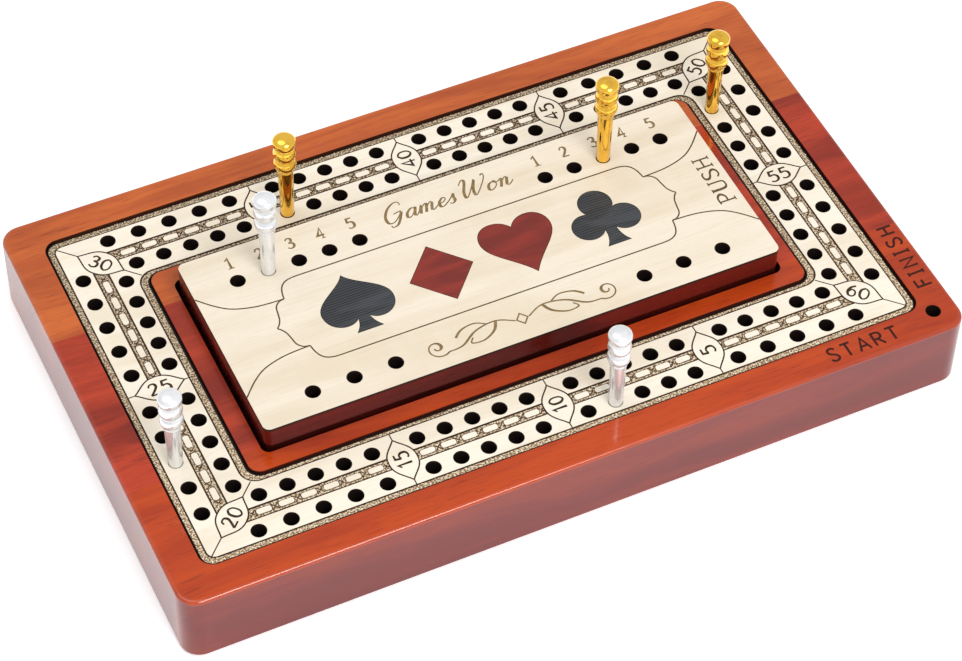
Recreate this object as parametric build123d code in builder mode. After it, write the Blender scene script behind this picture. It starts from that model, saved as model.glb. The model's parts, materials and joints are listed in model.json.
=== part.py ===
from build123d import *
import os

# A cribbage board: a hardwood slab glued up from three staves, a maple veneer frame let into
# its top for the track, a lid that rocks open over a peg store, four card-suit inlays in the
# lid's veneer, and six turned metal pegs standing in its holes.
# Origin: middle of the underside. X runs along the board, Y to the back, Z up. Millimetres.

# Slab
BOARD_LENGTH = 182.5
BOARD_WIDTH = 111.1
BOARD_HEIGHT = 19.05
BOARD_CORNER = 4.5
TOP_ROUND = 0.8
BASE_BEVEL = 1.0
FRONT_SEAM = -23.9
BACK_SEAM = 20.4

# Veneer frame of the track, and the recess that it lies in
VENEER_THICKNESS = 0.6
VENEER_SUNK = 0.5
VENEER_GAP = 0.4
RECESS_OUTER = (167.2, 95.8)
RECESS_INNER = (131.2, 60.0)
RECESS_OUTER_CORNER = 3.3
RECESS_INNER_CORNER = 2.7
TRACK_SURFACE = BOARD_HEIGHT - VENEER_SUNK

# Drilling: eighth-inch holes, mostly a quarter of an inch apart
HOLE_RADIUS = 1.5875
HOLE_DEPTH = 10.3
PITCH = 6.35
INNER_ROW = 34.88
OUTER_ROW = 43.37
INNER_COLUMN = 70.27
OUTER_COLUMN = 78.78
START_HOLE = (85.4, -49.75)

# Pocket for the lid, the peg store below it, and the relief that the pushed end sinks into
POCKET = (122.8, 52.0)
POCKET_CORNER = 1.9
POCKET_DEPTH = 6.35
LEDGE = BOARD_HEIGHT - POCKET_DEPTH
FULCRUM = 30.0
STORE_START = -56.0
STORE_END = 26.0
STORE_WIDTH = 36.0
STORE_CORNER = 3.0
STORE_FLOOR = 4.75
RELIEF_DEPTH = 3.5

# Lid, which lies loose in the pocket a little nearer its front wall
LID = (121.2, 50.0)
LID_PLACE = (0, -0.3)
LID_CORNER = 1.6
LID_TOP = BOARD_HEIGHT + 6.35
LID_ROW_SHIFT = 0.85
LID_BACK_ROW = 15.2
LID_FRONT_ROW = -19.6
SUIT_LINE = -0.7
SUIT_HALF_HEIGHT = 8.1

# Pegs, measured up from the tip
PEG_LENGTH = 32.5
PEG_TIP = (1.05, 1.3)
PEG_TIP_BEVEL = 0.35
SHANK_TOP = 21.1
SHANK_TOP_RADIUS = 1.72
COLLAR_RADIUS = 1.9
COLLAR_TOP = 21.6
NECK_RADIUS = 1.6
NECK_TOP = 22.1
GROOVE_RADIUS = 2.0
BEAD_RADIUS = 2.55
BUTTON_RIM = 2.6
DOME_RADIUS = 2.3
# Each bead is given by the heights of its middle and its upper edge, where the next one starts
LOWER_BEAD = (24.6, 26.05)
UPPER_BEAD = (27.95, 29.85)
BUTTON_BEAD = (30.65, 31.4)


def spread(first, pitch, count=5):
    """Places along a line on both sides of its middle, from the first one outwards."""
    return [side * (first + step * pitch) for side in (1, -1) for step in range(count)]


def both_sides(places, offset, swap=False):
    """Points at each place on two parallel lines, along X or, swapped, along Y."""
    pairs = [(place, side * offset) for side in (1, -1) for place in places]
    return [(across, along) for along, across in pairs] if swap else pairs


track_holes = (
    both_sides(spread(5.16, PITCH) + spread(40.88, PITCH), INNER_ROW)
    + both_sides(spread(5.25, PITCH) + spread(41.0, 7.2), OUTER_ROW)
    + both_sides(spread(5.2, 6.37), INNER_COLUMN, swap=True)
    + both_sides(spread(5.45, 7.29), OUTER_COLUMN, swap=True)
)
games_row = [(LID_ROW_SHIFT + x, LID_BACK_ROW) for x in spread(22.4, 7.15)]
front_row = [(LID_ROW_SHIFT + x, LID_FRONT_ROW) for x in spread(29.35, 9.5, count=3)]
lid_holes = games_row + front_row


def save(piece, name):
    """Label a finished piece and write it under its own name."""
    piece.part.label = name
    export_step(piece.part, f"parts/{name}.step")


os.makedirs("parts", exist_ok=True)

# ---------------------------------------------------------------------------------------
# The slab, cut as a whole and then parted at its glue lines
# ---------------------------------------------------------------------------------------
with BuildPart() as slab:
    with BuildSketch():
        RectangleRounded(BOARD_LENGTH, BOARD_WIDTH, BOARD_CORNER)
    extrude(amount=BOARD_HEIGHT)
    fillet(slab.faces().sort_by(Axis.Z)[-1].edges(), TOP_ROUND)
    chamfer(slab.faces().sort_by(Axis.Z)[0].edges(), BASE_BEVEL)

    # Recess for the veneer frame
    with BuildSketch(Plane.XY.offset(BOARD_HEIGHT)):
        RectangleRounded(*RECESS_OUTER, RECESS_OUTER_CORNER)
        RectangleRounded(*RECESS_INNER, RECESS_INNER_CORNER, mode=Mode.SUBTRACT)
    extrude(amount=-(VENEER_SUNK + VENEER_THICKNESS), mode=Mode.SUBTRACT)

    # Pocket down to the ledge
    with BuildSketch(Plane.XY.offset(BOARD_HEIGHT)):
        RectangleRounded(*POCKET, POCKET_CORNER)
    extrude(amount=-POCKET_DEPTH, mode=Mode.SUBTRACT)

    # Relief beyond the fulcrum, as wide as the pocket
    with BuildSketch(Plane.XY.offset(LEDGE)):
        RectangleRounded(*POCKET, POCKET_CORNER)
        with Locations((FULCRUM - BOARD_LENGTH / 2, 0)):
            Rectangle(BOARD_LENGTH, BOARD_WIDTH, mode=Mode.SUBTRACT)
    extrude(amount=-RELIEF_DEPTH, mode=Mode.SUBTRACT)

    # Peg store, inside the ledge
    with BuildSketch(Plane.XY.offset(LEDGE)):
        with Locations(((STORE_START + STORE_END) / 2, 0)):
            RectangleRounded(STORE_END - STORE_START, STORE_WIDTH, STORE_CORNER)
    extrude(amount=STORE_FLOOR - LEDGE, mode=Mode.SUBTRACT)

    # Blind holes of the track, and the one where a game starts
    with Locations(*[(x, y, TRACK_SURFACE) for x, y in track_holes]):
        Hole(HOLE_RADIUS, HOLE_DEPTH)
    with Locations((*START_HOLE, BOARD_HEIGHT)):
        Hole(HOLE_RADIUS, HOLE_DEPTH)


def cut_stave(name, front, back):
    """Keep the part of the slab between two glue lines or edges."""
    with BuildPart() as stave:
        add(slab.part)
        with BuildSketch():
            with Locations((0, (front + back) / 2)):
                Rectangle(BOARD_LENGTH, back - front)
        extrude(amount=BOARD_HEIGHT, mode=Mode.INTERSECT)
    save(stave, name)


cut_stave("board_stave_front", -BOARD_WIDTH / 2, FRONT_SEAM)
cut_stave("board_stave_centre", FRONT_SEAM, BACK_SEAM)
cut_stave("board_stave_back", BACK_SEAM, BOARD_WIDTH / 2)

# ---------------------------------------------------------------------------------------
# Veneer frame of the track
# ---------------------------------------------------------------------------------------
with BuildPart() as track_veneer:
    with BuildSketch(Plane.XY.offset(TRACK_SURFACE)):
        RectangleRounded(*[side - 2 * VENEER_GAP for side in RECESS_OUTER],
                         RECESS_OUTER_CORNER - VENEER_GAP)
        RectangleRounded(*[side + 2 * VENEER_GAP for side in RECESS_INNER],
                         RECESS_INNER_CORNER + VENEER_GAP, mode=Mode.SUBTRACT)
        with Locations(*track_holes):
            Circle(HOLE_RADIUS, mode=Mode.SUBTRACT)
    extrude(amount=-VENEER_THICKNESS)
save(track_veneer, "track_veneer")

# ---------------------------------------------------------------------------------------
# Card suits: outlines about their own middles
# ---------------------------------------------------------------------------------------
with BuildSketch() as spade:
    with BuildLine():
        Bezier((0, SUIT_HALF_HEIGHT), (1.9, 4.7), (8.2, 3.0), (8.2, -1.1))
        Bezier((8.2, -1.1), (8.2, -5.6), (3.2, -6.9), (1.2, -4.3))
        Bezier((1.2, -4.3), (1.4, -6.2), (2.1, -7.2), (2.9, -SUIT_HALF_HEIGHT))
        Line((2.9, -SUIT_HALF_HEIGHT), (0, -SUIT_HALF_HEIGHT))
        mirror(about=Plane.YZ)
    make_face()

with BuildSketch() as diamond:
    with BuildLine():
        Polyline((0, SUIT_HALF_HEIGHT), (7.4, 0), (0, -SUIT_HALF_HEIGHT))
        mirror(about=Plane.YZ)
    make_face()

with BuildSketch() as heart:
    with BuildLine():
        Bezier((0, 5.6), (1.1, 7.4), (2.6, SUIT_HALF_HEIGHT), (4.3, SUIT_HALF_HEIGHT))
        Bezier((4.3, SUIT_HALF_HEIGHT), (6.8, SUIT_HALF_HEIGHT), (8.4, 6.2), (8.4, 3.7))
        Bezier((8.4, 3.7), (8.4, -0.4), (3.4, -2.8), (0, -SUIT_HALF_HEIGHT))
        mirror(about=Plane.YZ)
    make_face()

with BuildSketch() as club:
    with Locations((0, SUIT_HALF_HEIGHT - 3.8)):
        Circle(3.8)
    with Locations((4.35, -1.4), (-4.35, -1.4)):
        Circle(3.65)
    with BuildLine():
        Polyline((0, 1.5), (2.0, 1.5), (2.0, -2.5), (1.2, -3.9))
        Bezier((1.2, -3.9), (1.3, -5.8), (1.9, -7.2), (2.65, -SUIT_HALF_HEIGHT))
        Line((2.65, -SUIT_HALF_HEIGHT), (0, -SUIT_HALF_HEIGHT))
        mirror(about=Plane.YZ)
    make_face()

suits = {
    "spade_inlay": (spade, -29.5),
    "diamond_inlay": (diamond, -9.3),
    "heart_inlay": (heart, 10.0),
    "club_inlay": (club, 29.75),
}

# ---------------------------------------------------------------------------------------
# Lid: a hardwood block, its maple veneer and the suits let into the veneer
# ---------------------------------------------------------------------------------------
with BuildPart() as lid_block:
    with BuildSketch(Plane.XY.offset(LEDGE)):
        with Locations(LID_PLACE):
            RectangleRounded(*LID, LID_CORNER)
    extrude(amount=LID_TOP - VENEER_THICKNESS - LEDGE)
    with Locations(*[(x, y, LID_TOP - VENEER_THICKNESS) for x, y in lid_holes]):
        Hole(HOLE_RADIUS, HOLE_DEPTH - VENEER_THICKNESS)
save(lid_block, "lid_block")

veneer_underside = Plane.XY.offset(LID_TOP - VENEER_THICKNESS)
with BuildPart() as lid_veneer:
    with BuildSketch(veneer_underside):
        with Locations(LID_PLACE):
            RectangleRounded(*LID, LID_CORNER)
        with Locations(*lid_holes):
            Circle(HOLE_RADIUS, mode=Mode.SUBTRACT)
        for outline, x in suits.values():
            with Locations((x, SUIT_LINE)):
                add(outline.sketch, mode=Mode.SUBTRACT)
    extrude(amount=VENEER_THICKNESS)
save(lid_veneer, "lid_veneer")

for name, (outline, x) in suits.items():
    with BuildPart() as inlay:
        with BuildSketch(veneer_underside):
            with Locations((x, SUIT_LINE)):
                add(outline.sketch)
        extrude(amount=VENEER_THICKNESS)
    save(inlay, name)


# ---------------------------------------------------------------------------------------
# Pegs: a tapered shank, a thin collar, two beads and a domed button
# ---------------------------------------------------------------------------------------
def turn_peg(name, place, crown):
    """Turn one upright peg at a place, with the top of its button at the height given."""
    x, y = place
    foot = Plane(origin=(x, y, crown - PEG_LENGTH), x_dir=(1, 0, 0), z_dir=(0, -1, 0))
    with BuildPart() as peg:
        with BuildSketch(foot):
            with BuildLine():
                Polyline((0, PEG_LENGTH), (0, 0), (PEG_TIP[0], 0), (PEG_TIP[1], PEG_TIP_BEVEL),
                         (SHANK_TOP_RADIUS, SHANK_TOP))
                ThreePointArc((SHANK_TOP_RADIUS, SHANK_TOP),
                              (COLLAR_RADIUS, (SHANK_TOP + COLLAR_TOP) / 2),
                              (NECK_RADIUS, COLLAR_TOP))
                Line((NECK_RADIUS, COLLAR_TOP), (NECK_RADIUS, NECK_TOP))
                ThreePointArc((NECK_RADIUS, NECK_TOP), (BEAD_RADIUS, LOWER_BEAD[0]),
                              (GROOVE_RADIUS, LOWER_BEAD[1]))
                ThreePointArc((GROOVE_RADIUS, LOWER_BEAD[1]), (BEAD_RADIUS, UPPER_BEAD[0]),
                              (GROOVE_RADIUS, UPPER_BEAD[1]))
                ThreePointArc((GROOVE_RADIUS, UPPER_BEAD[1]), (BUTTON_RIM, BUTTON_BEAD[0]),
                              (DOME_RADIUS, BUTTON_BEAD[1]))
                TangentArc((0, PEG_LENGTH), (DOME_RADIUS, BUTTON_BEAD[1]), tangent=(1, 0))
            make_face()
        revolve(axis=Axis((x, y, 0), (0, 0, 1)))
    save(peg, name)


# Each peg: where it stands, the surface it stands out of, and how far it stands out
pegs = {
    "gold_peg_back": ((-5.16 - 4 * PITCH, INNER_ROW), TRACK_SURFACE, 24.2),
    "gold_peg_lid": (games_row[2], LID_TOP, 24.3),
    "gold_peg_right": ((INNER_COLUMN, 5.2 + 3 * 6.37), TRACK_SURFACE, 23.8),
    "silver_peg_lid": (games_row[8], LID_TOP, 23.5),
    "silver_peg_front": ((5.25 + PITCH, -OUTER_ROW), TRACK_SURFACE, 23.1),
    "silver_peg_left": ((-OUTER_COLUMN, -5.45 - 2 * 7.29), TRACK_SURFACE, 22.5),
}
for name, (place, surface, proud) in pegs.items():
    turn_peg(name, place, surface + proud)
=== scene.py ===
"""Looks of a wooden cribbage board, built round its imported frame.

The slab and the lid keep their CAD solids and get lacquered wood. The two maple veneers are
carved here as engraved plates, with burnt lines, stippled bands and a chain, and the six metal
pegs are turned again with rounder beads. Artwork is laid out in millimetres, as an engraver
would draw it, and becomes metres when it is cut.
"""

import json
import logging
import math
from collections.abc import Iterable, Sequence
from dataclasses import dataclass, field
from enum import Enum
from functools import cached_property, reduce

import bpy
from bpy.types import Material, Mesh, Node, NodeSocket, NodeTree, Object
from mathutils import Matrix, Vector
from mathutils.geometry import delaunay_2d_cdt


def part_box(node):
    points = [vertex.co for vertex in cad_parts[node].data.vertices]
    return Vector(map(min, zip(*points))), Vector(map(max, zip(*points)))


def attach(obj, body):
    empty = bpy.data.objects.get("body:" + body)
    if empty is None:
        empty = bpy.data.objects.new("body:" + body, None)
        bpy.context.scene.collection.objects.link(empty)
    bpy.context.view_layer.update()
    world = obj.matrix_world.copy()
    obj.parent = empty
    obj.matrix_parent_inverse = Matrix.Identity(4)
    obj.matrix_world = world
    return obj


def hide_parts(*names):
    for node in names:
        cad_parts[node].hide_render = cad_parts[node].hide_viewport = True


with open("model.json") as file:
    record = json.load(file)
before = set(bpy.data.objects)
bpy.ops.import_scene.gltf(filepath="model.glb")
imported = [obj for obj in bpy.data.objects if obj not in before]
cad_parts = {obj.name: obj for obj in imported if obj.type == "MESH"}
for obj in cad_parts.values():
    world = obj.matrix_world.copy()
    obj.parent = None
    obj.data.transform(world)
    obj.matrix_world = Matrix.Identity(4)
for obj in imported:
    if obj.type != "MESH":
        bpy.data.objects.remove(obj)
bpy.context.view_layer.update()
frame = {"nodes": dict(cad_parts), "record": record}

log = logging.getLogger("cribbage_board")

MM = 0.001
Point = tuple[float, float]
Place = tuple[float, float, float]
Ring = list[Point]
Colour = tuple[float, float, float, float]

# The slab's flat top, inside its rounded edge: half sizes and corner, in millimetres
SLAB_FLAT: Point = (90.0, 54.3)
SLAB_CORNER = 4.0


def tone(red: int, green: int, blue: int) -> Colour:
    """A display colour as the linear colour that a shader takes.

    Args:
        red: red, from 0 to 255.
        green: green, from 0 to 255.
        blue: blue, from 0 to 255.

    Returns:
        The linear colour, opaque.
    """
    def linear(part: int) -> float:
        """One part of the colour without its display curve."""
        share = part / 255
        return share / 12.92 if share <= 0.04045 else ((share + 0.055) / 1.055) ** 2.4

    return (linear(red), linear(green), linear(blue), 1.0)


# --- Node sheets: one way to make any node, and arithmetic on what varies ---
class Signal:
    """A number that varies over a surface, carried by one output socket."""

    def __init__(self, sheet: "NodeSheet", socket: NodeSocket) -> None:
        """Wrap a socket of the sheet's tree."""
        self.sheet = sheet
        self.socket = socket

    def _math(self, operation: str, *terms: "Signal | float") -> "Signal":
        """Combine terms with one Math node and return its result."""
        return self.sheet.signal("Math", {"operation": operation}, dict(enumerate(terms)))

    def __add__(self, other: "Signal | float") -> "Signal":
        """Sum of the two."""
        return self._math("ADD", self, other)

    def __sub__(self, other: "Signal | float") -> "Signal":
        """This less the other."""
        return self._math("SUBTRACT", self, other)

    def __rsub__(self, other: float) -> "Signal":
        """A number less this."""
        return self._math("SUBTRACT", other, self)

    def __mul__(self, other: "Signal | float") -> "Signal":
        """Product of the two."""
        return self._math("MULTIPLY", self, other)

    __radd__, __rmul__ = __add__, __mul__

    def __pow__(self, other: float) -> "Signal":
        """This raised to a power."""
        return self._math("POWER", self, other)

    def __abs__(self) -> "Signal":
        """Size of this, whatever its sign."""
        return self._math("ABSOLUTE", self)

    def over(self, other: "Signal | float") -> "Signal":
        """The greater of the two."""
        return self._math("MAXIMUM", self, other)

    def under(self, other: "Signal | float") -> "Signal":
        """The lesser of the two."""
        return self._math("MINIMUM", self, other)

    def rise(self, low: float, high: float) -> "Signal":
        """A smooth step; high below low makes it fall.

        Args:
            low: where it is still 0.
            high: where it has reached 1.

        Returns:
            The step.
        """
        start = 0.0 if low < high else 1.0
        return self.sheet.signal("MapRange", {"interpolation_type": "SMOOTHSTEP"}, {
            "Value": self, "From Min": min(low, high), "From Max": max(low, high),
            "To Min": start, "To Max": 1.0 - start})


class NodeSheet:
    """A node tree that is being written, for a shader or for geometry."""

    shared_kinds = {
        "Math": "ShaderNode", "MapRange": "ShaderNode", "Mix": "ShaderNode",
        "VectorMath": "ShaderNode", "CombineXYZ": "ShaderNode", "SeparateXYZ": "ShaderNode",
        "RandomValue": "FunctionNode", "GroupInput": "Node", "GroupOutput": "Node"}

    def __init__(self, tree: NodeTree, prefix: str) -> None:
        """Start writing on an empty tree, whose own node types begin with the prefix."""
        self.tree = tree
        self.prefix = prefix

    def node(self, kind: str, settings: dict | None = None, inputs: dict | None = None) -> Node:
        """Make a node, set it, then fill or link its sockets.

        Args:
            kind: the node's type without its prefix, such as "TexNoise".
            settings: properties of the node, such as a Math node's operation.
            inputs: socket name or number to a value, a Signal, another node's socket, or a
                list of sockets where the socket takes several.

        Returns:
            The new node.
        """
        made = self.tree.nodes.new(self.shared_kinds.get(kind, self.prefix) + kind)
        for name, value in (settings or {}).items():
            setattr(made, name, value)
        for key, given in (inputs or {}).items():
            for value in given if isinstance(given, list) else [given]:
                if isinstance(value, Signal):
                    value = value.socket
                if isinstance(value, NodeSocket):
                    self.tree.links.new(value, made.inputs[key])
                else:
                    made.inputs[key].default_value = value
        return made

    def out(self, kind: str, settings: dict | None = None,
            inputs: dict | None = None) -> NodeSocket:
        """The first output of a new node."""
        return self.node(kind, settings, inputs).outputs[0]

    def signal(self, kind: str, settings: dict | None = None,
               inputs: dict | None = None) -> Signal:
        """The first output of a new node, as a Signal."""
        return Signal(self, self.out(kind, settings, inputs))


class SurfaceSheet(NodeSheet):
    """The shader tree of one finish, measured in millimetres of the object's own space."""

    def __init__(self, name: str, shift: Place = (0.0, 0.0, 0.0)) -> None:
        """Open an empty material.

        Args:
            name: the material's name.
            shift: where its patterns are read, so that no two pieces have the same ones.
        """
        self.material = bpy.data.materials.new(name)
        self.material.use_nodes = True
        self.material.node_tree.nodes.clear()
        super().__init__(self.material.node_tree, "ShaderNode")
        self.shift = shift
        here = self.node("TexCoord").outputs["Object"]
        self.place = self.out("VectorMath", {"operation": "SCALE"}, {0: here, "Scale": 1 / MM})
        parts = self.node("SeparateXYZ", {}, {0: self.place}).outputs
        self.x, self.y, self.z = (Signal(self, part) for part in parts)

    def stretched(self, cells: Place) -> NodeSocket:
        """The place scaled on each axis, so that a pattern runs with the grain."""
        return self.out("Mapping", {}, {"Vector": self.place, "Location": self.shift,
                                        "Scale": cells})

    def noise(self, cells: Place, detail: float = 2.0, rough: float = 0.5,
              distortion: float = 0.0) -> Signal:
        """Soft noise, stretched along the grain.

        Args:
            cells: its cells in a millimetre along X, Y and Z.
            detail: how many finer layers it has.
            rough: how strong each finer layer is.
            distortion: how far it is bent.

        Returns:
            The noise, mostly from 0.3 to 0.7.
        """
        return self.signal("TexNoise", {}, {
            "Vector": self.stretched(cells), "Scale": 1.0, "Detail": detail,
            "Roughness": rough, "Distortion": distortion})

    def layered(self, base: Colour, *layers: tuple[Signal, Colour]) -> NodeSocket:
        """A colour with others laid over it in turn.

        Args:
            base: the colour at the bottom.
            layers: each further colour, after the share of it that shows.

        Returns:
            The colour that is seen.
        """
        seen = base
        for share, colour in layers:
            seen = self.node("Mix", {"data_type": "RGBA"},
                             {0: share, 6: seen, 7: colour}).outputs[2]
        return seen

    def rounded_distance(self, half: Point, corner: float,
                         centre: Point = (0.0, 0.0)) -> Signal:
        """Distance from an upright rounded rectangle.

        Args:
            half: half of its length and of its width.
            corner: radius of its corners.
            centre: where its middle is.

        Returns:
            The distance in millimetres, below 0 inside.
        """
        across = abs(self.x - centre[0]) - (half[0] - corner)
        along = abs(self.y - centre[1]) - (half[1] - corner)
        beyond = (across.over(0.0) ** 2 + along.over(0.0) ** 2) ** 0.5
        return beyond + across.over(along).under(0.0) - corner

    def finish(self, colour: NodeSocket, roughness: Signal | float,
               height: Signal | None = None, depth: float = 0.0,
               uniform: dict | None = None) -> Material:
        """Close the tree with one Principled shader.

        Args:
            colour: base colour.
            roughness: roughness, uniform or varying.
            height: relief from 0 to 1, or None for a smooth surface.
            depth: height of the relief in millimetres.
            uniform: further sockets' values by name, most of them the same all over.

        Returns:
            The finished material.
        """
        inputs = {"Base Color": colour, "Roughness": roughness, **(uniform or {})}
        if height is not None:
            inputs["Normal"] = self.out("Bump", {}, {
                "Height": height, "Distance": depth * MM, "Strength": 1.0})
        shader = self.out("BsdfPrincipled", {}, inputs)
        self.node("OutputMaterial", {}, {"Surface": shader})
        return self.material


# --- Finishes ---
@dataclass(frozen=True)
class ShadedHollow:
    """A stretch inside a rounded rectangle, between two heights, painted black as painted shade.

    Attributes:
        half: half of its length and of its width.
        corner: radius of its corners.
        low: height where the painted shade starts.
        high: height where it ends.
        spared: half sizes and corner of an island inside it that isn't shaded, or None.
        centre: where its middle is.
        blur: half of the breadth over which the painted shade fades.
    """

    half: Point
    corner: float
    low: float
    high: float
    spared: tuple[Point, float] | None = None
    centre: Point = (0.0, 0.0)
    blur: float = 0.05

    def mask(self, sheet: SurfaceSheet) -> Signal:
        """Where the painted shade lies.

        Args:
            sheet: the wood's shader.

        Returns:
            1 inside the hollow and 0 outside.
        """
        blur, lap = self.blur, 0.03
        inside = sheet.rounded_distance(self.half, self.corner, self.centre).rise(blur, -blur)
        if self.spared:
            inside = inside * sheet.rounded_distance(*self.spared).rise(-blur, blur)
        above = sheet.z.rise(self.low - lap, self.low)
        return inside * above * sheet.z.rise(self.high + lap, self.high)


@dataclass(frozen=True)
class LacqueredWood:
    """Open-grained hardwood under a clear gloss lacquer, its grain along X.

    Its sides are painted darker and cooler than its top: painted shade, where they face away from
    the light. The recess, the holes and the pocket's walls are painted black as painted shade,
    and the lacquer doesn't shine there. It shines most on the slab's rounded edge.
    """

    name: str
    light: Colour
    dark: Colour
    pore: Colour
    seed: float
    shaded_hollows: tuple[ShadedHollow, ...]
    # painted shade: the darker, cooler colour of the sides, and how far and how high it covers
    # them
    side: Colour = tone(98, 36, 38)
    side_shade_share: float = 0.8
    side_shade_top: float = 18.85
    side_shade_half: Point = SLAB_FLAT
    # painted shade: near-black colour of the recess, the holes and the pocket's walls
    char_and_shade: Colour = tone(22, 11, 8)
    gloss: float = 0.16
    coat: float = 0.42
    edge_coat: float = 0.58

    def make(self) -> Material:
        """Write the wood's shader.

        Returns:
            The finished wood.
        """
        sheet = SurfaceSheet(self.name, (self.seed * 3.1, self.seed * 1.7, self.seed))
        figure = sheet.noise((0.013, 0.085, 0.068), 4.0, 0.6, 0.9)
        cloud = sheet.noise((0.035, 0.07, 0.07), 3.0)
        fibre = sheet.noise((0.05, 1.5, 1.5), 4.0, 0.7)
        pores = sheet.noise((0.16, 3.2, 3.2), 1.0).rise(0.60, 0.72)
        streaks = sheet.noise((0.10, 0.42, 0.42)).rise(0.66, 0.78)
        # painted shade: below the top's edge and near the outline, the sides take the darker side
        # colour
        low = sheet.z.rise(self.side_shade_top, self.side_shade_top - 0.8)
        outer = sheet.rounded_distance(self.side_shade_half, SLAB_CORNER).rise(-1.5, 0.0)
        uneven = 1.08 - figure.rise(0.40, 0.66) * 0.20
        # painted shade: the recess, the holes and the pocket's walls darkened to near black, with
        # no lacquer shine
        burnt = reduce(Signal.over, [hollow.mask(sheet) for hollow in self.shaded_hollows])
        colour = sheet.layered(
            self.dark, (figure.rise(0.36, 0.66), self.light),
            (cloud.rise(0.35, 0.75) * 0.45, self.light),
            (fibre.rise(0.45, 0.72) * 0.30, self.dark),
            (pores * 0.38, self.pore), (streaks * 0.35, self.pore),
            (low * outer * uneven * self.side_shade_share, self.side), (burnt, self.char_and_shade))
        edge = sheet.z.rise(18.1, 18.4) * sheet.rounded_distance(
            SLAB_FLAT, SLAB_CORNER).rise(0.3, 0.6)
        return sheet.finish(
            colour, fibre * 0.10 + cloud * 0.05 + self.gloss + burnt * 0.6,
            fibre * 0.5 + (1 - pores) * 0.5, 0.012, {
                "Coat Weight": (1 - burnt) * (edge * self.edge_coat + self.coat),
                "Coat Roughness": 0.10, "Specular IOR Level": 0.15})


@dataclass(frozen=True)
class MapleFace:
    """Pale maple veneer with short flecks along X and a slow change of tone."""

    name: str
    light: Colour
    warm: Colour
    fleck: Colour
    seed: float

    def make(self) -> Material:
        """Write the veneer's shader.

        Returns:
            The finished veneer.
        """
        sheet = SurfaceSheet(self.name, (self.seed * 2.3, self.seed * 4.1, self.seed))
        waves = sheet.noise((0.018, 0.11, 0.1), distortion=0.7)
        curl = sheet.noise((0.22, 0.06, 0.1), 1.0)
        grain = sheet.noise((0.10, 2.4, 1.0), 3.0, 0.6)
        flecks = sheet.noise((0.75, 6.5, 1.0), 1.0).rise(0.62, 0.78)
        colour = sheet.layered(
            self.light, (waves.rise(0.34, 0.70), self.warm),
            (curl.rise(0.45, 0.7) * 0.25, self.light),
            (grain.rise(0.48, 0.72) * 0.30, self.fleck), (flecks * 0.34, self.fleck))
        return sheet.finish(colour, grain * 0.10 + 0.36, grain * 0.6 + (1 - flecks) * 0.4,
                            0.008, {"Coat Weight": 0.25, "Coat Roughness": 0.22})


@dataclass(frozen=True)
class BurntWood:
    """Wood scorched by the engraver: dark at the core, browner where it burnt lightly."""

    name: str
    char_and_shade: Colour
    singe: Colour
    lightest: float = 0.55
    seed: float = 5.0

    def make(self) -> Material:
        """Write the scorched shader.

        Returns:
            The finished wood.
        """
        sheet = SurfaceSheet(self.name, (self.seed, self.seed * 2, 0.0))
        heat = sheet.noise((0.9, 1.3, 1.0), 3.0)
        soot = sheet.noise((4.5, 5.5, 4.5), 1.0)
        colour = sheet.layered(self.char_and_shade, (heat.rise(0.35, 0.75) * self.lightest, self.singe),
                               (soot.rise(0.5, 0.75) * 0.4, self.singe))
        return sheet.finish(colour, heat * 0.15 + 0.62, soot, 0.03,
                            {"Specular IOR Level": 0.2})


@dataclass(frozen=True)
class PunchedGround:
    """Ground that a hot punch has mottled: cream where it missed, brown where it touched.

    It is darker towards the back of the board: painted shade, as the light falls from the front.
    """

    name: str
    cream: Colour
    brown: Colour
    dark: Colour
    cell: float
    seed: float = 3.0

    def make(self) -> Material:
        """Write the mottled shader.

        Returns:
            The finished ground.
        """
        sheet = SurfaceSheet(self.name, (self.seed, self.seed * 2, 0.0))
        rate = 1 / self.cell
        spots = sheet.noise((rate, rate * 1.15, rate))
        specks = sheet.noise((rate * 2.1, rate * 2.1, rate), 1.0)
        colour = sheet.layered(
            self.brown, (spots.rise(0.46, 0.60), self.cream),
            (specks.rise(0.54, 0.68) * 0.8, self.dark),
            # painted shade: darker towards the back of the board
            (sheet.y.rise(-60.0, 60.0) * 0.4, self.dark))
        return sheet.finish(colour, specks * 0.15 + 0.6, spots, 0.05,
                            {"Specular IOR Level": 0.2})


@dataclass(frozen=True)
class DyedInlay:
    """Dyed veneer with fine straight saw lines across it."""

    name: str
    light: Colour
    dark: Colour
    line_pitch: float
    line_share: float
    seed: float

    def make(self) -> Material:
        """Write the inlay's shader.

        Returns:
            The finished inlay.
        """
        sheet = SurfaceSheet(self.name, (self.seed, self.seed * 3, 0.0))
        figure = sheet.noise((0.07, 0.33, 0.3), 3.0, distortion=0.5)
        fibre = sheet.noise((0.25, 6.0, 1.0))
        saw = sheet.signal("TexWave", {"wave_type": "BANDS", "bands_direction": "Y"}, {
            "Vector": sheet.stretched((0.15, 1.0, 1.0)),
            "Scale": 1 / (self.line_pitch * math.pi), "Distortion": 0.6, "Detail": 1.0})
        colour = sheet.layered(self.dark, (figure.rise(0.35, 0.68) * 0.5, self.light),
                               (saw * self.line_share, self.light),
                               (fibre.rise(0.5, 0.75) * 0.35, self.dark))
        return sheet.finish(colour, fibre * 0.12 + 0.36, saw * 0.6 + fibre * 0.4, 0.012, {
            "Coat Weight": 0.12, "Coat Roughness": 0.25, "Specular IOR Level": 0.3})


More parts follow.
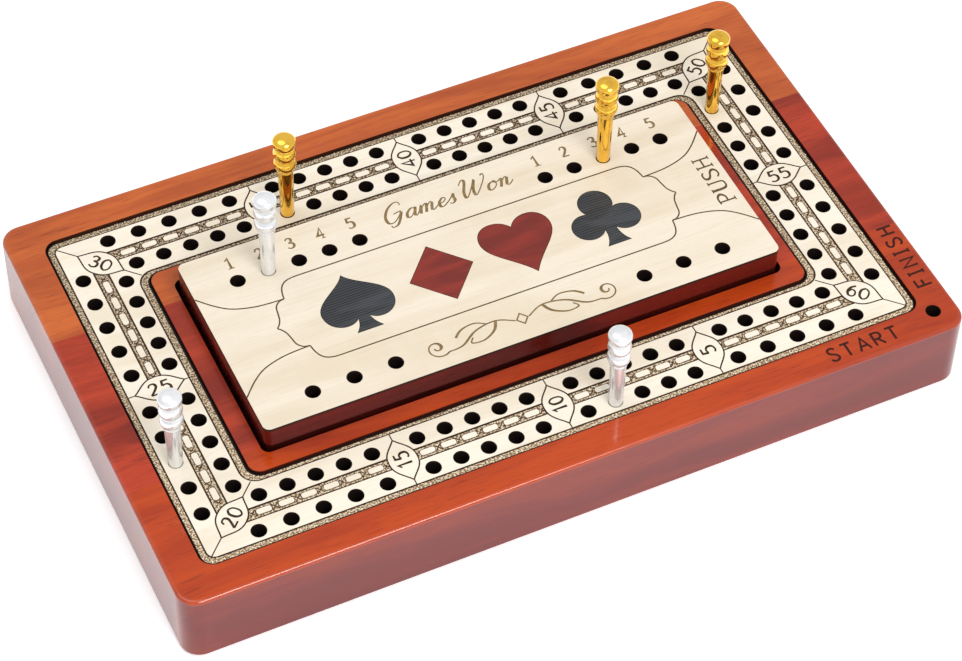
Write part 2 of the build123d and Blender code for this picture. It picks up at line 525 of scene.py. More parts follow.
@dataclass(frozen=True)
class PolishedMetal:
    """Turned and buffed metal with faint tool rings round it and a few dull patches."""

    name: str
    bright: Colour
    dull: Colour
    polish: float
    metal_share: float

    def make(self) -> Material:
        """Write the metal's shader.

        Returns:
            The finished metal.
        """
        sheet = SurfaceSheet(self.name)
        rings = sheet.noise((0.2, 0.2, 5.0), 1.0)
        smear = sheet.noise((0.5, 0.5, 0.25), 3.0)
        colour = sheet.layered(self.bright, (smear.rise(0.4, 0.75) * 0.5, self.dull))
        return sheet.finish(colour, smear * 0.08 + rings * 0.05 + self.polish, rings, 0.0015,
                            {"Metallic": self.metal_share})


@dataclass(frozen=True)
class PaleFloor:
    """Plain matt floor with a hardly visible mottle."""

    name: str = "pale_floor"
    glow: float = 0.30

    def make(self) -> Material:
        """Write the floor's shader.

        Returns:
            The finished floor.
        """
        sheet = SurfaceSheet(self.name)
        mottle = sheet.noise((0.01, 0.01, 0.01))
        colour = sheet.layered(tone(248, 248, 249), (mottle * 0.3, tone(244, 244, 246)))
        return sheet.finish(colour, 0.7, uniform={
            "Emission Color": (1.0, 1.0, 1.0, 1.0), "Emission Strength": self.glow})


# --- Drawing on a flat sheet, in millimetres ---
def rounded_rectangle(half: Point, corner: float, steps: int = 6) -> Ring:
    """Anticlockwise outline of a rounded rectangle about the origin.

    Args:
        half: half of its length and of its width.
        corner: radius of its corners.
        steps: straight runs in each corner.

    Returns:
        The outline's points.
    """
    ring: Ring = []
    for quarter, (side_x, side_y) in enumerate(((1, 1), (-1, 1), (-1, -1), (1, -1))):
        for step in range(steps + 1):
            angle = math.pi / 2 * (quarter + step / steps)
            ring.append((side_x * (half[0] - corner) + corner * math.cos(angle),
                         side_y * (half[1] - corner) + corner * math.sin(angle)))
    return ring


def disc(centre: Point, radius: float, sides: int = 32) -> Ring:
    """Anticlockwise outline of a disc."""
    return [(centre[0] + radius * math.cos(math.tau * k / sides),
             centre[1] + radius * math.sin(math.tau * k / sides)) for k in range(sides)]


def placed(points: Iterable[Point], centre: Point, degrees: float = 0.0,
           mirror: bool = False) -> Ring:
    """Points mirrored left to right if asked, turned and moved.

    Args:
        points: what is drawn about the origin.
        centre: where the origin goes.
        degrees: how far it is turned, anticlockwise.
        mirror: whether it is mirrored first.

    Returns:
        The points in place.
    """
    cosine, sine = math.cos(math.radians(degrees)), math.sin(math.radians(degrees))
    side = -1.0 if mirror else 1.0
    return [(centre[0] + side * x * cosine - y * sine,
             centre[1] + side * x * sine + y * cosine) for x, y in points]


def between(start: Point, end: Point, share: float) -> Point:
    """The point that lies a share of the way from start to end."""
    return (start[0] + (end[0] - start[0]) * share, start[1] + (end[1] - start[1]) * share)


def bowed(controls: Sequence[Point], steps: int = 8) -> Ring:
    """Points along a Bezier curve of any degree.

    Args:
        controls: the curve's control points.
        steps: straight runs along it.

    Returns:
        steps + 1 points.
    """
    ring: Ring = []
    degree = len(controls) - 1
    for step in range(steps + 1):
        t = step / steps
        weights = [math.comb(degree, k) * t**k * (1 - t) ** (degree - k)
                   for k in range(degree + 1)]
        ring.append((sum(w * p[0] for w, p in zip(weights, controls)),
                     sum(w * p[1] for w, p in zip(weights, controls))))
    return ring


def through(points: Sequence[Point], steps: int = 5) -> Ring:
    """Points along a smooth line, as a pen draws it.

    Args:
        points: the points that it passes.
        steps: straight runs between two of them.

    Returns:
        The line's points.
    """
    padded = [points[0], *points, points[-1]]
    ring: Ring = []
    for a, b, c, d in zip(padded, padded[1:], padded[2:], padded[3:]):
        for step in range(steps):
            t = step / steps
            ring.append(tuple(0.5 * (2 * q + (r - p) * t + (2 * p - 5 * q + 4 * r - s) * t * t
                                     + (3 * q - p - 3 * r + s) * t**3)
                              for p, q, r, s in zip(a, b, c, d)))
    ring.append(points[-1])
    return ring


def is_bulging(ring: Ring) -> bool:
    """Whether a ring turns left at every corner, so that none of its sides cross."""
    turns = [(bx - ax) * (cy - by) - (by - ay) * (cx - bx) for (ax, ay), (bx, by), (cx, cy)
             in zip(ring, ring[1:] + ring[:1], ring[2:] + ring[:2])]
    return min(turns) > 0


def stroke(line: Sequence[Point], width: float, closed: bool = False,
           swell: float = 0.0) -> list[Ring]:
    """A pen line as small four-sided pieces that meet edge to edge.

    Args:
        line: the points that the pen passes.
        width: breadth of the line.
        closed: whether the line comes back to its first point.
        swell: breadth that a stroke straight down adds, as a pointed nib does.

    Returns:
        One ring for each straight run.
    """
    count = len(line)
    sharpest_mitre = 0.5
    sides: list[tuple[Point, Point]] = []
    for index, (x, y) in enumerate(line):
        before = line[index - 1] if index or closed else (x, y)
        after = line[(index + 1) % count] if index < count - 1 or closed else (x, y)
        into = Vector((x - before[0], y - before[1])).normalized()
        out = Vector((after[0] - x, after[1] - y)).normalized()
        way = (into + out).normalized() if (into + out).length > 1e-6 else out
        broad = width + swell * max(0.0, -way.y) ** 1.5
        reach = broad / 2 / max(sharpest_mitre, way.dot(out if out.length > 0 else into))
        sides.append(((x - way.y * reach, y + way.x * reach),
                      (x + way.y * reach, y - way.x * reach)))
    rings: list[Ring] = []
    for k in range(count if closed else count - 1):
        after = (k + 1) % count
        ring = [sides[k][0], sides[k][1], sides[after][1], sides[after][0]]
        if not is_bulging(ring):
            along = Vector(line[after]) - Vector(line[k])
            side = Vector((-along.y, along.x)).normalized() * width / 2
            ring = [tuple(Vector(line[end]) + side * sign)
                    for end, sign in ((k, 1), (k, -1), (after, -1), (after, 1))]
        rings.append(ring)
    return rings


class Pen(Enum):
    """How a stroke of a letter is drawn: straight, curved, or as a fine foot of a stem."""

    STRAIGHT = "bar"
    CURVED = "bow"
    SERIF = "foot"


Glyph = tuple[float, list[tuple[Pen, Ring]]]


def alphabet(letters: dict[str, str]) -> dict[str, Glyph]:
    """Read letters, written in hundredths of the height of their body.

    Args:
        letters: for each letter its width, then each stroke's pen and the points it passes.

    Returns:
        For each letter its width and its strokes, on a body one unit high.
    """
    glyphs: dict[str, Glyph] = {}
    for letter, line in letters.items():
        width, *marks = line.split()
        strokes: list[tuple[Pen, Ring]] = []
        for mark in marks:
            if mark.isalpha():
                strokes.append((Pen(mark), []))
            else:
                strokes[-1][1].append(tuple(int(part) / 100 for part in mark.split(",")))
        glyphs[letter] = (int(width) / 100, strokes)
    return glyphs


BLOCK = alphabet({
    "0": "62 bow 31,100 6,75 6,25 31,0 56,25 56,75 31,100",
    "1": "50 bar 8,80 30,100 30,0 foot 8,0 52,0",
    "2": "58 bow 5,74 16,96 42,96 50,70 34,40 3,2 bar 3,2 56,2",
    "3": "56 bow 5,84 22,100 46,90 42,63 20,54 bow 20,54 50,43 50,12 24,0 2,14",
    "4": "60 bar 42,0 42,100 0,30 60,30 foot 26,0 58,0",
    "5": "58 bar 52,98 14,98 9,56 bow 9,56 34,63 54,44 50,12 24,0 2,10",
    "6": "60 bow 46,98 20,78 6,40 16,6 40,0 56,22 48,52 26,58 8,36",
    "A": "68 bar 0,0 34,100 68,0 bar 12,34 56,34",
    "F": "50 bar 2,0 2,100 52,100 bar 2,52 44,52",
    "H": "60 bar 4,0 4,100 bar 56,0 56,100 bar 4,52 56,52 foot -8,0 16,0 "
         "foot -8,100 16,100 foot 44,0 68,0 foot 44,100 68,100",
    "I": "30 bar 15,0 15,100 bar 2,100 28,100 bar 2,0 28,0",
    "N": "60 bar 2,0 2,100 58,0 58,100",
    "P": "54 bar 6,0 6,100 foot -6,0 20,0 bow -6,100 34,100 54,76 36,50 6,49",
    "R": "60 bar 2,0 2,100 30,100 bar 26,50 58,0 bow 30,100 50,90 50,60 30,50 2,50",
    "S": "56 bow 50,86 36,99 12,96 4,76 16,58 42,44 54,24 44,4 18,0 2,16",
    "T": "62 bar 0,100 62,100 bar 31,100 31,0",
    "U": "60 bow 6,100 6,30 14,6 32,0 50,6 56,30 56,100 foot -6,100 18,100 "
         "foot 46,100 68,100"})

ROUND_HAND = alphabet({
    " ": "30",
    "G": "195 bow 150,175 135,215 90,220 35,170 10,85 35,10 90,5 140,70 150,105 "
         "bow 85,95 150,105 145,40 115,-35 70,-50 55,-25",
    "W": "260 bow 0,170 30,220 55,190 40,70 62,2 105,80 142,190 128,70 150,2 200,80 "
         "235,170 230,220 205,210",
    "a": "120 bow 85,85 50,100 12,55 18,6 50,8 85,70 90,100 82,20 98,0 120,30",
    "e": "95 bow 0,40 45,50 66,80 42,100 10,60 18,8 50,0 95,40",
    "m": "180 bow 0,30 22,100 16,0 bow 18,40 48,95 70,90 66,0 "
         "bow 68,40 98,95 122,90 118,20 136,0 180,40",
    "n": "130 bow 0,80 20,100 24,60 16,0 bow 18,40 50,95 74,90 72,15 95,0 130,40",
    "o": "105 bow 60,98 15,75 10,20 42,0 80,40 70,90 50,98 75,75 105,80",
    "s": "75 bow 0,40 30,80 44,110 46,70 58,25 36,0 8,12"})


@dataclass(frozen=True)
class Hand:
    """A way of lettering: its alphabet and how the pen is held.

    Attributes:
        glyphs: strokes of each letter, on a body one unit high.
        width: breadth of the pen in millimetres.
        swell: breadth that a down stroke adds.
        gap: space between letters, in units.
        slant: lean of the letters.
        serifs: whether stems get feet.
        foot_share: breadth of a foot, as a share of the pen's.
    """

    glyphs: dict[str, Glyph]
    width: float
    swell: float = 0.0
    gap: float = 0.2
    slant: float = 0.0
    serifs: bool = False
    foot_share: float = 0.7

    def write(self, text: str, centre: Point, size: Point, degrees: float = 0.0) -> list[Ring]:
        """Pen strokes of a word.

        Args:
            text: what it says.
            centre: middle of the word, at half the height of its body.
            size: length of the word and height of its body.
            degrees: how far it is turned, anticlockwise.

        Returns:
            The strokes' rings.
        """
        full = sum(self.glyphs[letter][0] for letter in text) + self.gap * (len(text) - 1)
        wide, tall = size[0] / full, size[1]
        cursor = -full / 2
        rings: list[Ring] = []
        for letter in text:
            advance, lines = self.glyphs[letter]
            for pen, points in lines:
                is_foot = pen is Pen.SERIF
                if is_foot and not self.serifs:
                    continue
                flat = [((cursor + x + self.slant * y) * wide, (y - 0.5) * tall)
                        for x, y in (through(points) if pen is Pen.CURVED else points)]
                width = self.width * (self.foot_share if is_foot else 1.0)
                rings += [placed(ring, centre, degrees)
                          for ring in stroke(flat, width, swell=self.swell)]
            cursor += advance + self.gap
        return rings


def area_of(ring: Ring) -> float:
    """Signed area of a ring, above 0 where it runs anticlockwise."""
    return sum(ax * by - bx * ay for (ax, ay), (bx, by) in zip(ring, ring[1:] + ring[:1])) / 2


def centre_of(ring: Ring) -> Point:
    """Middle of a ring's box."""
    xs, ys = zip(*ring)
    return ((min(xs) + max(xs)) / 2, (min(ys) + max(ys)) / 2)


def width_of(ring: Ring) -> float:
    """How far a ring reaches along X."""
    xs = [x for x, _ in ring]
    return max(xs) - min(xs)


def top_rings(node: str) -> list[Ring]:
    """Outlines of a CAD node's flat top.

    Args:
        node: the node's name.

    Returns:
        The outline and the openings in millimetres, the largest first.
    """
    mesh = frame["nodes"][node].data
    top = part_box(node)[1].z
    following: dict[Point, Point] = {}
    edges: set[tuple[Point, Point]] = set()
    for face in mesh.polygons:
        corners = [mesh.vertices[k].co for k in face.vertices]
        if all(corner.z > top - 1e-5 for corner in corners):
            flat = [(round(c.x / MM, 4), round(c.y / MM, 4)) for c in corners]
            edges.update(zip(flat, flat[1:] + flat[:1]))
    for start, end in edges:
        if (end, start) not in edges and start != end:
            following[start] = end
    rings: list[Ring] = []
    while following:
        start, point = following.popitem()
        ring = [start]
        while point != start:
            ring.append(point)
            point = following.pop(point)
        rings.append(ring)
    return sorted(rings, key=lambda ring: -abs(area_of(ring)))


def scorch_and_shade_rims(holes: Iterable[Ring], empty: float = 1.75,
                  filled: float = 1.63) -> list[Ring]:
    """Discs a little wider than the holes: scorch, and painted shade round an empty hole.

    Args:
        holes: outlines of the holes.
        empty: radius round an empty hole.
        filled: radius round a hole that holds a peg.

    Returns:
        One disc for each hole.
    """
    pegs = [(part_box(node)[0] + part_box(node)[1]) / 2 / MM for node in peg_nodes()]
    rims: list[Ring] = []
    for centre in map(centre_of, holes):
        has_peg = any(math.dist(centre, peg[:2]) < 1.0 for peg in pegs)
        rims.append(disc(centre, filled if has_peg else empty))
    return rims


def peg_nodes() -> list[str]:
    """Names of the pegs' CAD nodes, in order."""
    return sorted(node for node in frame["nodes"] if "_peg_" in node)


# --- Engraved plates ---
class Cut(Enum):
    """How a stretch of a plate is left: its depth in millimetres and its material's place."""

    FACE = (0.0, 0)
    LINE = (0.12, 1)
    GROUND = (0.10, 2)
    RIM = (0.04, 3)
    OPEN = (-1.0, 0)


@dataclass
class EngravedPlate:
    """A thin plate whose face is painted with shapes, the last one on top deciding the cut.

    Its height and thickness are millimetres.
    """

    top: float
    thickness: float
    shapes: list[tuple[Ring, Cut]] = field(default_factory=list)

    @classmethod
    def of_node(cls, node: str) -> "EngravedPlate":
        """A plate as thick and as high as a CAD node."""
        low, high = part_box(node)
        return cls(high.z / MM, (high.z - low.z) / MM)

    def paint(self, rings: Iterable[Ring], cut: Cut) -> None:
        """Lay rings over what is painted already.

        Args:
            rings: the shapes, running either way round.
            cut: how they are left.
        """
        for ring in rings:
            area = area_of(ring)
            if abs(area) > 1e-6:
                self.shapes.append((ring if area > 0 else ring[::-1], cut))

    @cached_property
    def partition(self) -> tuple[list[Vector], list[tuple[Sequence[int], Cut]]]:
        """The painted sheet in triangles, split once, when nothing more is painted.

        Returns:
            The points, and each triangle with the cut of the last shape over it.
        """
        points: list[Vector] = []
        faces: list[list[int]] = []
        for ring, _ in self.shapes:
            faces.append(list(range(len(points), len(points) + len(ring))))
            points.extend(Vector(point) for point in ring)
        found, _, triangles, _, _, owners = delaunay_2d_cdt(points, [], faces, 1, 1e-4, True)
        kept = [(triangle, self.shapes[max(owner)][1])
                for triangle, owner in zip(triangles, owners) if owner]
        return found, [(triangle, cut) for triangle, cut in kept if cut is not Cut.OPEN]

    def carve(self, name: str, materials: Sequence[Material]) -> Object:
        """Cut the plate as a closed mesh.

        Args:
            name: the piece's name.
            materials: for the face, the burnt lines, the punched ground and the rims of
                holes and openings.

        Returns:
            The plate, in place.
        """
        flat, triangles = self.partition
        owner = {side: cut for triangle, cut in triangles for side in self.sides(triangle)}
        base = self.top - self.thickness
        places: dict[tuple[int, float], int] = {}
        corners: list[Place] = []

        def corner(index: int, height: float) -> int:
            """A vertex of the plate, made when it is first asked for.

            Args:
                index: the sheet's point.
                height: the vertex's height.

            Returns:
                Its number.
            """
            key = (index, round(height, 4))
            if key not in places:
                places[key] = len(corners)
                corners.append((flat[index].x * MM, flat[index].y * MM, height * MM))
            return places[key]

        faces: list[tuple[list[int], int]] = []
        for triangle, cut in triangles:
            depth, slot = cut.value
            height = self.top - depth
            faces.append(([corner(k, height) for k in triangle], slot))
            faces.append(([corner(k, base) for k in reversed(triangle)], Cut.FACE.value[1]))
            for start, end in self.sides(triangle):
                beside = owner.get((end, start))
                low = base if beside is None else self.top - beside.value[0]
                if low < height - 1e-6:
                    wall = Cut.RIM if beside is None else Cut.LINE
                    faces.append(([corner(start, height), corner(start, low),
                                   corner(end, low), corner(end, height)], wall.value[1]))
        mesh = bpy.data.meshes.new(name)
        mesh.from_pydata(corners, [], [face for face, _ in faces])
        for material in materials:
            mesh.materials.append(material)
        mesh.polygons.foreach_set("material_index", [slot for _, slot in faces])
        mesh.update()
        return add_piece(name, mesh)

    @staticmethod
    def sides(triangle: Sequence[int]) -> Iterable[tuple[int, int]]:
        """The three sides of a triangle, each from its start to its end."""
        return zip(triangle, [*triangle[1:], triangle[0]])

    def surface(self, cut: Cut) -> Mesh:
        """The stretches with one cut, as a flat mesh at their own depth.

        Args:
            cut: which stretches.

        Returns:
            A mesh that is in no object yet.
        """
        flat, triangles = self.partition
        height = (self.top - cut.value[0]) * MM
        mesh = bpy.data.meshes.new("stretch")
        mesh.from_pydata([(p.x * MM, p.y * MM, height) for p in flat], [],
                         [triangle for triangle, own in triangles if own is cut])
        mesh.update()
        return mesh


def add_piece(name: str, mesh: Mesh) -> Object:
    """Put a mesh in the scene as an object at the origin.

    Args:
        name: the object's name.
        mesh: its mesh.

    Returns:
        The object.
    """
    made = bpy.data.objects.new(name, mesh)
    bpy.context.scene.collection.objects.link(made)
    return made


def settle(piece: Object, body: str, slot: str, *stands_for: str) -> None:
    """Hand a finished piece to its body.

    Args:
        piece: the piece.
        body: the body that it rides on.
        slot: its material slot, which is not used.
        stands_for: the CAD nodes that it hides.
    """
    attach(piece, body)
    if stands_for:
        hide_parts(*stands_for)
    piece.data.calc_loop_triangles()
    log.info("%s rides on %s: %d triangles", piece.name, body, len(piece.data.loop_triangles))


def dress_node(node: str, material: Material) -> None:
    """Give a CAD node one finish.

    Args:
        node: the node's name.
        material: its finish.
    """
    mesh = frame["nodes"][node].data
    mesh.materials.clear()
    mesh.materials.append(material)
    log.info("%s is %s", node, material.name)


# --- Geometry node trees: what repeats, and what is turned ---
class GrowthSheet(NodeSheet):
    """A geometry tree with named inputs, which grows a plain mesh from a seed mesh."""

    def __init__(self, name: str, sizes: str, counts: str = "") -> None:
        """Open a tree.

        Args:
            name: the tree's name.
            sizes: names of its inputs that are sizes or shares, with spaces between.
            counts: names of its inputs that are whole numbers.
        """
        super().__init__(bpy.data.node_groups.new(name, "GeometryNodeTree"), "GeometryNode")
        kinds = {"Geometry": "Geometry", **dict.fromkeys(sizes.split(), "Float"),
                 **dict.fromkeys(counts.split(), "Int"), "Material": "Material"}
        for label, kind in kinds.items():
            self.tree.interface.new_socket(label, in_out="INPUT", socket_type="NodeSocket" + kind)
        self.tree.interface.new_socket("Geometry", in_out="OUTPUT",
                                       socket_type="NodeSocketGeometry")
        self.given = self.node("GroupInput").outputs

    def close(self, shape: NodeSocket, smooth: bool = False) -> None:
        """End the tree in real geometry with its material.

        Args:
            shape: the geometry.
            smooth: whether it is shaded smooth.
        """
        real = self.out("RealizeInstances", {}, {"Geometry": shape})
        if smooth:
            real = self.out("SetShadeSmooth", {}, {0: real})
        done = self.out("SetMaterial", {}, {0: real, "Material": self.given["Material"]})
        self.node("GroupOutput", {}, {0: done})

    def grow(self, name: str, seed: Mesh, **values: object) -> Object:
        """Run the tree on a seed mesh and keep the result as a plain piece.

        Args:
            name: the piece's name.
            seed: the mesh that the tree starts from.
            values: the tree's inputs.

        Returns:
            The new piece, with no modifier.
        """
        holder = add_piece(name + "_seed", seed)
        modifier = holder.modifiers.new("growth", "NODES")
        modifier.node_group = self.tree
        for item in self.tree.interface.items_tree:
            if item.in_out == "INPUT" and item.name in values:
                modifier[item.identifier] = values[item.name]
        view = bpy.context.evaluated_depsgraph_get()
        mesh = bpy.data.meshes.new_from_object(holder.evaluated_get(view))
        bpy.data.objects.remove(holder)
        return add_piece(name, mesh)


def points_mesh(points: Sequence[Place], label: str, values: Sequence[float],
                joined: bool = False) -> Mesh:
    """Vertices in space, each carrying a number for a tree to read.

    Args:
        points: where they are, in metres.
        label: what the number is called.
        values: the numbers.
        joined: whether an edge joins each one to the next.

    Returns:
        A mesh that is in no object yet.
    """
    edges = [(k, k + 1) for k in range(len(points) - 1)] if joined else []
    mesh = bpy.data.meshes.new(label)
    mesh.from_pydata(points, edges, [])
    mesh.attributes.new(label, "FLOAT", "POINT").data.foreach_set("value", values)
    return mesh


class LinkTree(GrowthSheet):
    """Oblong links with rounded ends, one on each mark, standing as islands on the ground."""

    def __init__(self) -> None:
        """Write the tree."""
        super().__init__("links_on_marks", "Length Width Corner Height")
        given = self.given
        outline = self.out("CurvePrimitiveQuadrilateral", {}, {
            "Width": given["Length"], "Height": given["Width"]})
        outline = self.out("FilletCurve", {"mode": "POLY"}, {
            "Curve": outline, "Count": 4, "Radius": given["Corner"]})
        flat = self.out("FillCurve", {"mode": "NGONS"}, {0: outline})
        up = self.out("CombineXYZ", {}, {"Z": given["Height"]})
        block = self.out("ExtrudeMesh", {"mode": "FACES"}, {
            "Mesh": flat, "Offset": up, "Offset Scale": 1.0, "Individual": False})
        under = self.out("FlipFaces", {}, {0: flat})
        both = self.out("JoinGeometry", {}, {0: [block, under]})
        solid = self.out("MergeByDistance", {}, {0: both, "Distance": 1e-7})
        turn = self.out("InputNamedAttribute", {"data_type": "FLOAT"}, {"Name": "turn"})
        self.close(self.out("InstanceOnPoints", {}, {
            "Points": given["Geometry"], "Instance": solid,
            "Rotation": self.out("CombineXYZ", {}, {"Z": turn})}))


class StippleTree(GrowthSheet):
    """Small low grains scattered over a ground, as a punch leaves them."""

    def __init__(self) -> None:
        """Write the tree."""
        super().__init__("stipple_on_ground", "Spacing Radius Flatness Density", "Seed")
        given = self.given
        points = self.out("DistributePointsOnFaces", {"distribute_method": "POISSON"}, {
            "Mesh": given["Geometry"], "Distance Min": given["Spacing"],
            "Density Max": given["Density"], "Seed": given["Seed"]})
        grain = self.out("MeshIcoSphere", {}, {"Radius": given["Radius"], "Subdivisions": 1})
        flat = self.out("CombineXYZ", {}, {"X": 1.0, "Y": 0.8, "Z": given["Flatness"]})
        grain = self.out("Transform", {}, {0: grain, "Scale": flat})
        spin = self.out("RandomValue", {"data_type": "FLOAT_VECTOR"}, {
            "Min": (0, 0, 0), "Max": (0, 0, math.tau), "Seed": given["Seed"]})
        grow = self.node("RandomValue", {"data_type": "FLOAT"}, {
            2: 0.6, 3: 1.25, "Seed": given["Seed"]}).outputs[1]
        self.close(self.out("InstanceOnPoints", {}, {
            "Points": points, "Instance": grain, "Rotation": spin, "Scale": grow}),
            smooth=True)


class TurningTree(GrowthSheet):
    """A lathe: a profile line, with each point's radius, turned into a closed solid."""

    def __init__(self) -> None:
        """Write the tree."""
        super().__init__("turned_from_profile", "", "Sides")
        spine = self.out("MeshToCurve", {}, {0: self.given["Geometry"]})
        reach = self.out("InputNamedAttribute", {"data_type": "FLOAT"}, {"Name": "reach"})
        ring = self.out("CurvePrimitiveCircle", {"mode": "RADIUS"}, {
            "Resolution": self.given["Sides"], "Radius": 1.0})
        solid = self.out("CurveToMesh", {}, {
            "Curve": spine, "Profile Curve": ring, "Scale": reach})
        self.close(self.out("MergeByDistance", {}, {0: solid, "Distance": 1e-6}), smooth=True)


# --- The track's veneer ---
@dataclass
class TrackVeneer:
    """The engraved maple frame of the track.

    Sizes are millimetres from the board's middle. Outlines are given by their half sizes.
    """

    band_edge: Point = (83.0, 47.3)
    outer_band: Point = (81.7, 46.0)
    inner_band: Point = (67.8, 31.5)
    chain_outer: Point = (76.0, 40.3)
    chain_inner: Point = (73.1, 37.45)
    corners: tuple[float, ...] = (2.6, 1.9, 1.0, 1.0, 3.6)
    medallion_row: float = 38.95
    medallion_column: float = 74.5
    medallion_step: float = 35.8
    medallion_half: Point = (3.2, 5.6)
    corner_medallion: Point = (73.5, 37.95)
    row_middle: float = 0.22
    figure_lengths: Point = (2.1, 4.9)
    slim_one: float = 0.85
    figure_height: float = 3.15
    fine: float = 0.34
    bold: float = 0.40
    links_in_a_run: int = 6
    link_share: float = 0.67
    link_width: float = 1.35
    link_corner: float = 0.55
    link_height: float = 0.12
    link_sunk: float = 0.02
    link_line: float = 0.2
    cross_half: Point = (0.8, 0.9)
    cross_line: float = 0.24
    side_tails: Point = (1.7, 1.9)
    corner_tails: Point = (5.4, 4.2)
    opening_rim: float = 0.6
    grain_spacing: float = 0.50
    grain_radius: float = 0.20
    grain_flatness: float = 0.45
    grains_per_square_metre: float = 6.0e6
    figures: Hand = Hand(BLOCK, 0.42, swell=0.2)

    def __post_init__(self) -> None:
        """Take the plate's outline and holes from the frame."""
        self.plate = EngravedPlate.of_node("track_veneer")
        self.outline, self.island, *self.holes = top_rings("track_veneer")

    def leaf(self, centre: Point, degrees: float) -> Ring:
        """Pointed medallion with slightly hollow tips.

        Args:
            centre: its middle.
            degrees: how far it is turned.

        Returns:
            Its outline.
        """
        wide, tall = self.medallion_half
        edge = bowed([(0, tall), (wide * 0.42, tall * 0.66), (wide * 1.02, tall * 0.5),
                      (wide, 0)])
        right = edge + [(x, -y) for x, y in reversed(edge[:-1])]
        left = [(-x, y) for x, y in reversed(right[1:-1])]
        return placed(right + left, centre, degrees)

    def medallions(self) -> list[tuple[Point, float, str, float]]:
        """Each medallion's place and figure.

        Returns:
            Its centre and turn, its figure and the figure's turn.
        """
        row, column, step = self.medallion_row, self.medallion_column, self.medallion_step
        x, y = self.corner_medallion
        marks = [((self.row_middle + step * (1 - k), -row), 0.0, str(5 * (k + 1)), 90.0)
                 for k in range(3)]
        marks += [((self.row_middle + step * (k - 1), row), 0.0, str(35 + 5 * k), 90.0)
                  for k in range(3)]
        marks += [((-column, 0), 90.0, "25", 0.0), ((column, 0), 90.0, "55", 0.0)]
        marks += [((-x, -y), -45.0, "20", 45.0), ((-x, y), 45.0, "30", -45.0),
                  ((x, y), -45.0, "50", 45.0), ((x, -y), 45.0, "60", -45.0)]
        return marks

    def runs(self) -> list[tuple[Point, Point, float]]:
        """Stretches of chain between medallions.

        Returns:
            The start, end and turn of each.
        """
        row = (self.chain_outer[1] + self.chain_inner[1]) / 2
        column = (self.chain_outer[0] + self.chain_inner[0]) / 2
        half = self.medallion_half[0] + 0.25
        corner_x, corner_y = self.corner_medallion[0] - 4.2, self.corner_medallion[1] - 4.6
        step = self.medallion_step
        found = []
        for side in (1, -1):
            for start, end in ((half, step - half), (step + half, corner_x)):
                for way in (1, -1):
                    found.append(((way * start, side * row), (way * end, side * row), 0.0))
            for way in (1, -1):
                found.append(((side * column, way * half), (side * column, way * corner_y),
                              90.0))
        return found

    def draw(self) -> None:
        """Paint the whole engraving on the plate."""
        paint = self.plate.paint
        paint([self.outline], Cut.RIM)
        halves = (self.band_edge, self.outer_band, self.chain_outer, self.chain_inner,
                  self.inner_band)
        cuts = (Cut.GROUND, Cut.FACE, Cut.GROUND, Cut.FACE, Cut.GROUND)
        outlines = list(map(rounded_rectangle, halves, self.corners))
        for outline, cut in zip(outlines, cuts):
            paint([outline], cut)
        for outline, width in zip(outlines[1:], (self.fine, self.bold, self.bold, self.bold)):
            paint(stroke(outline, width, closed=True), Cut.LINE)
        for start, end, turn in self.runs():
            self.draw_chain(start, end, turn)
        for centre, turn, figure, figure_turn in self.medallions():
            self.draw_medallion(centre, turn, figure, figure_turn)
        paint(stroke(self.island, self.opening_rim, closed=True), Cut.RIM)
        # dark rings round the holes: scorch, widened by painted shade round the empty holes
        paint(scorch_and_shade_rims(self.holes), Cut.RIM)
        paint([self.island, *self.holes], Cut.OPEN)

    def draw_chain(self, start: Point, end: Point, turn: float) -> None:
        """Outlines of one run's links, with crosses between them.

        Args:
            start: where the run starts.
            end: where it ends.
            turn: its turn in degrees.
        """
        count = self.links_in_a_run
        pitch = math.dist(start, end) / count
        half = (pitch * self.link_share / 2 + 0.1, self.link_width / 2 + 0.1)
        link = rounded_rectangle(half, self.link_corner, 3)
        wide, tall = self.cross_half
        for k in range(2 * count + 1):
            centre = between(start, end, k / (2 * count))
            if k % 2:
                ring = placed(link, centre, turn)
                self.plate.paint(stroke(ring, self.link_line, closed=True), Cut.LINE)
                continue
            for lean in (1, -1):
                arm = placed([(-wide * lean, -tall), (wide * lean, tall)], centre, turn)
                self.plate.paint(stroke(arm, self.cross_line), Cut.LINE)

    def draw_medallion(self, centre: Point, turn: float, figure: str,
                       figure_turn: float) -> None:
        """One medallion, its figure, and the lines from its tips to the bands.

        Args:
            centre: the medallion's middle.
            turn: its turn in degrees.
            figure: its number.
            figure_turn: the number's turn.
        """
        ring = self.leaf(centre, turn)
        tall = self.medallion_half[1]
        outward, inward = self.corner_tails if abs(turn) == 45.0 else self.side_tails
        way = 1 if centre[1] < 0 or (centre[1] == 0 and centre[0] > 0) else -1
        for sign, length in ((-way, outward), (way, inward)):
            tail = placed([(0, sign * (tall - 0.1)), (0, sign * (tall + length))], centre, turn)
            self.plate.paint(stroke(tail, self.fine * 0.8), Cut.LINE)
        self.plate.paint([ring], Cut.FACE)
        self.plate.paint(stroke(ring, self.fine, closed=True), Cut.LINE)
        length = self.figure_lengths[len(figure) - 1] - self.slim_one * ("1" in figure)
        self.plate.paint(self.figures.write(figure, centre, (length, self.figure_height),
                                            figure_turn), Cut.LINE)

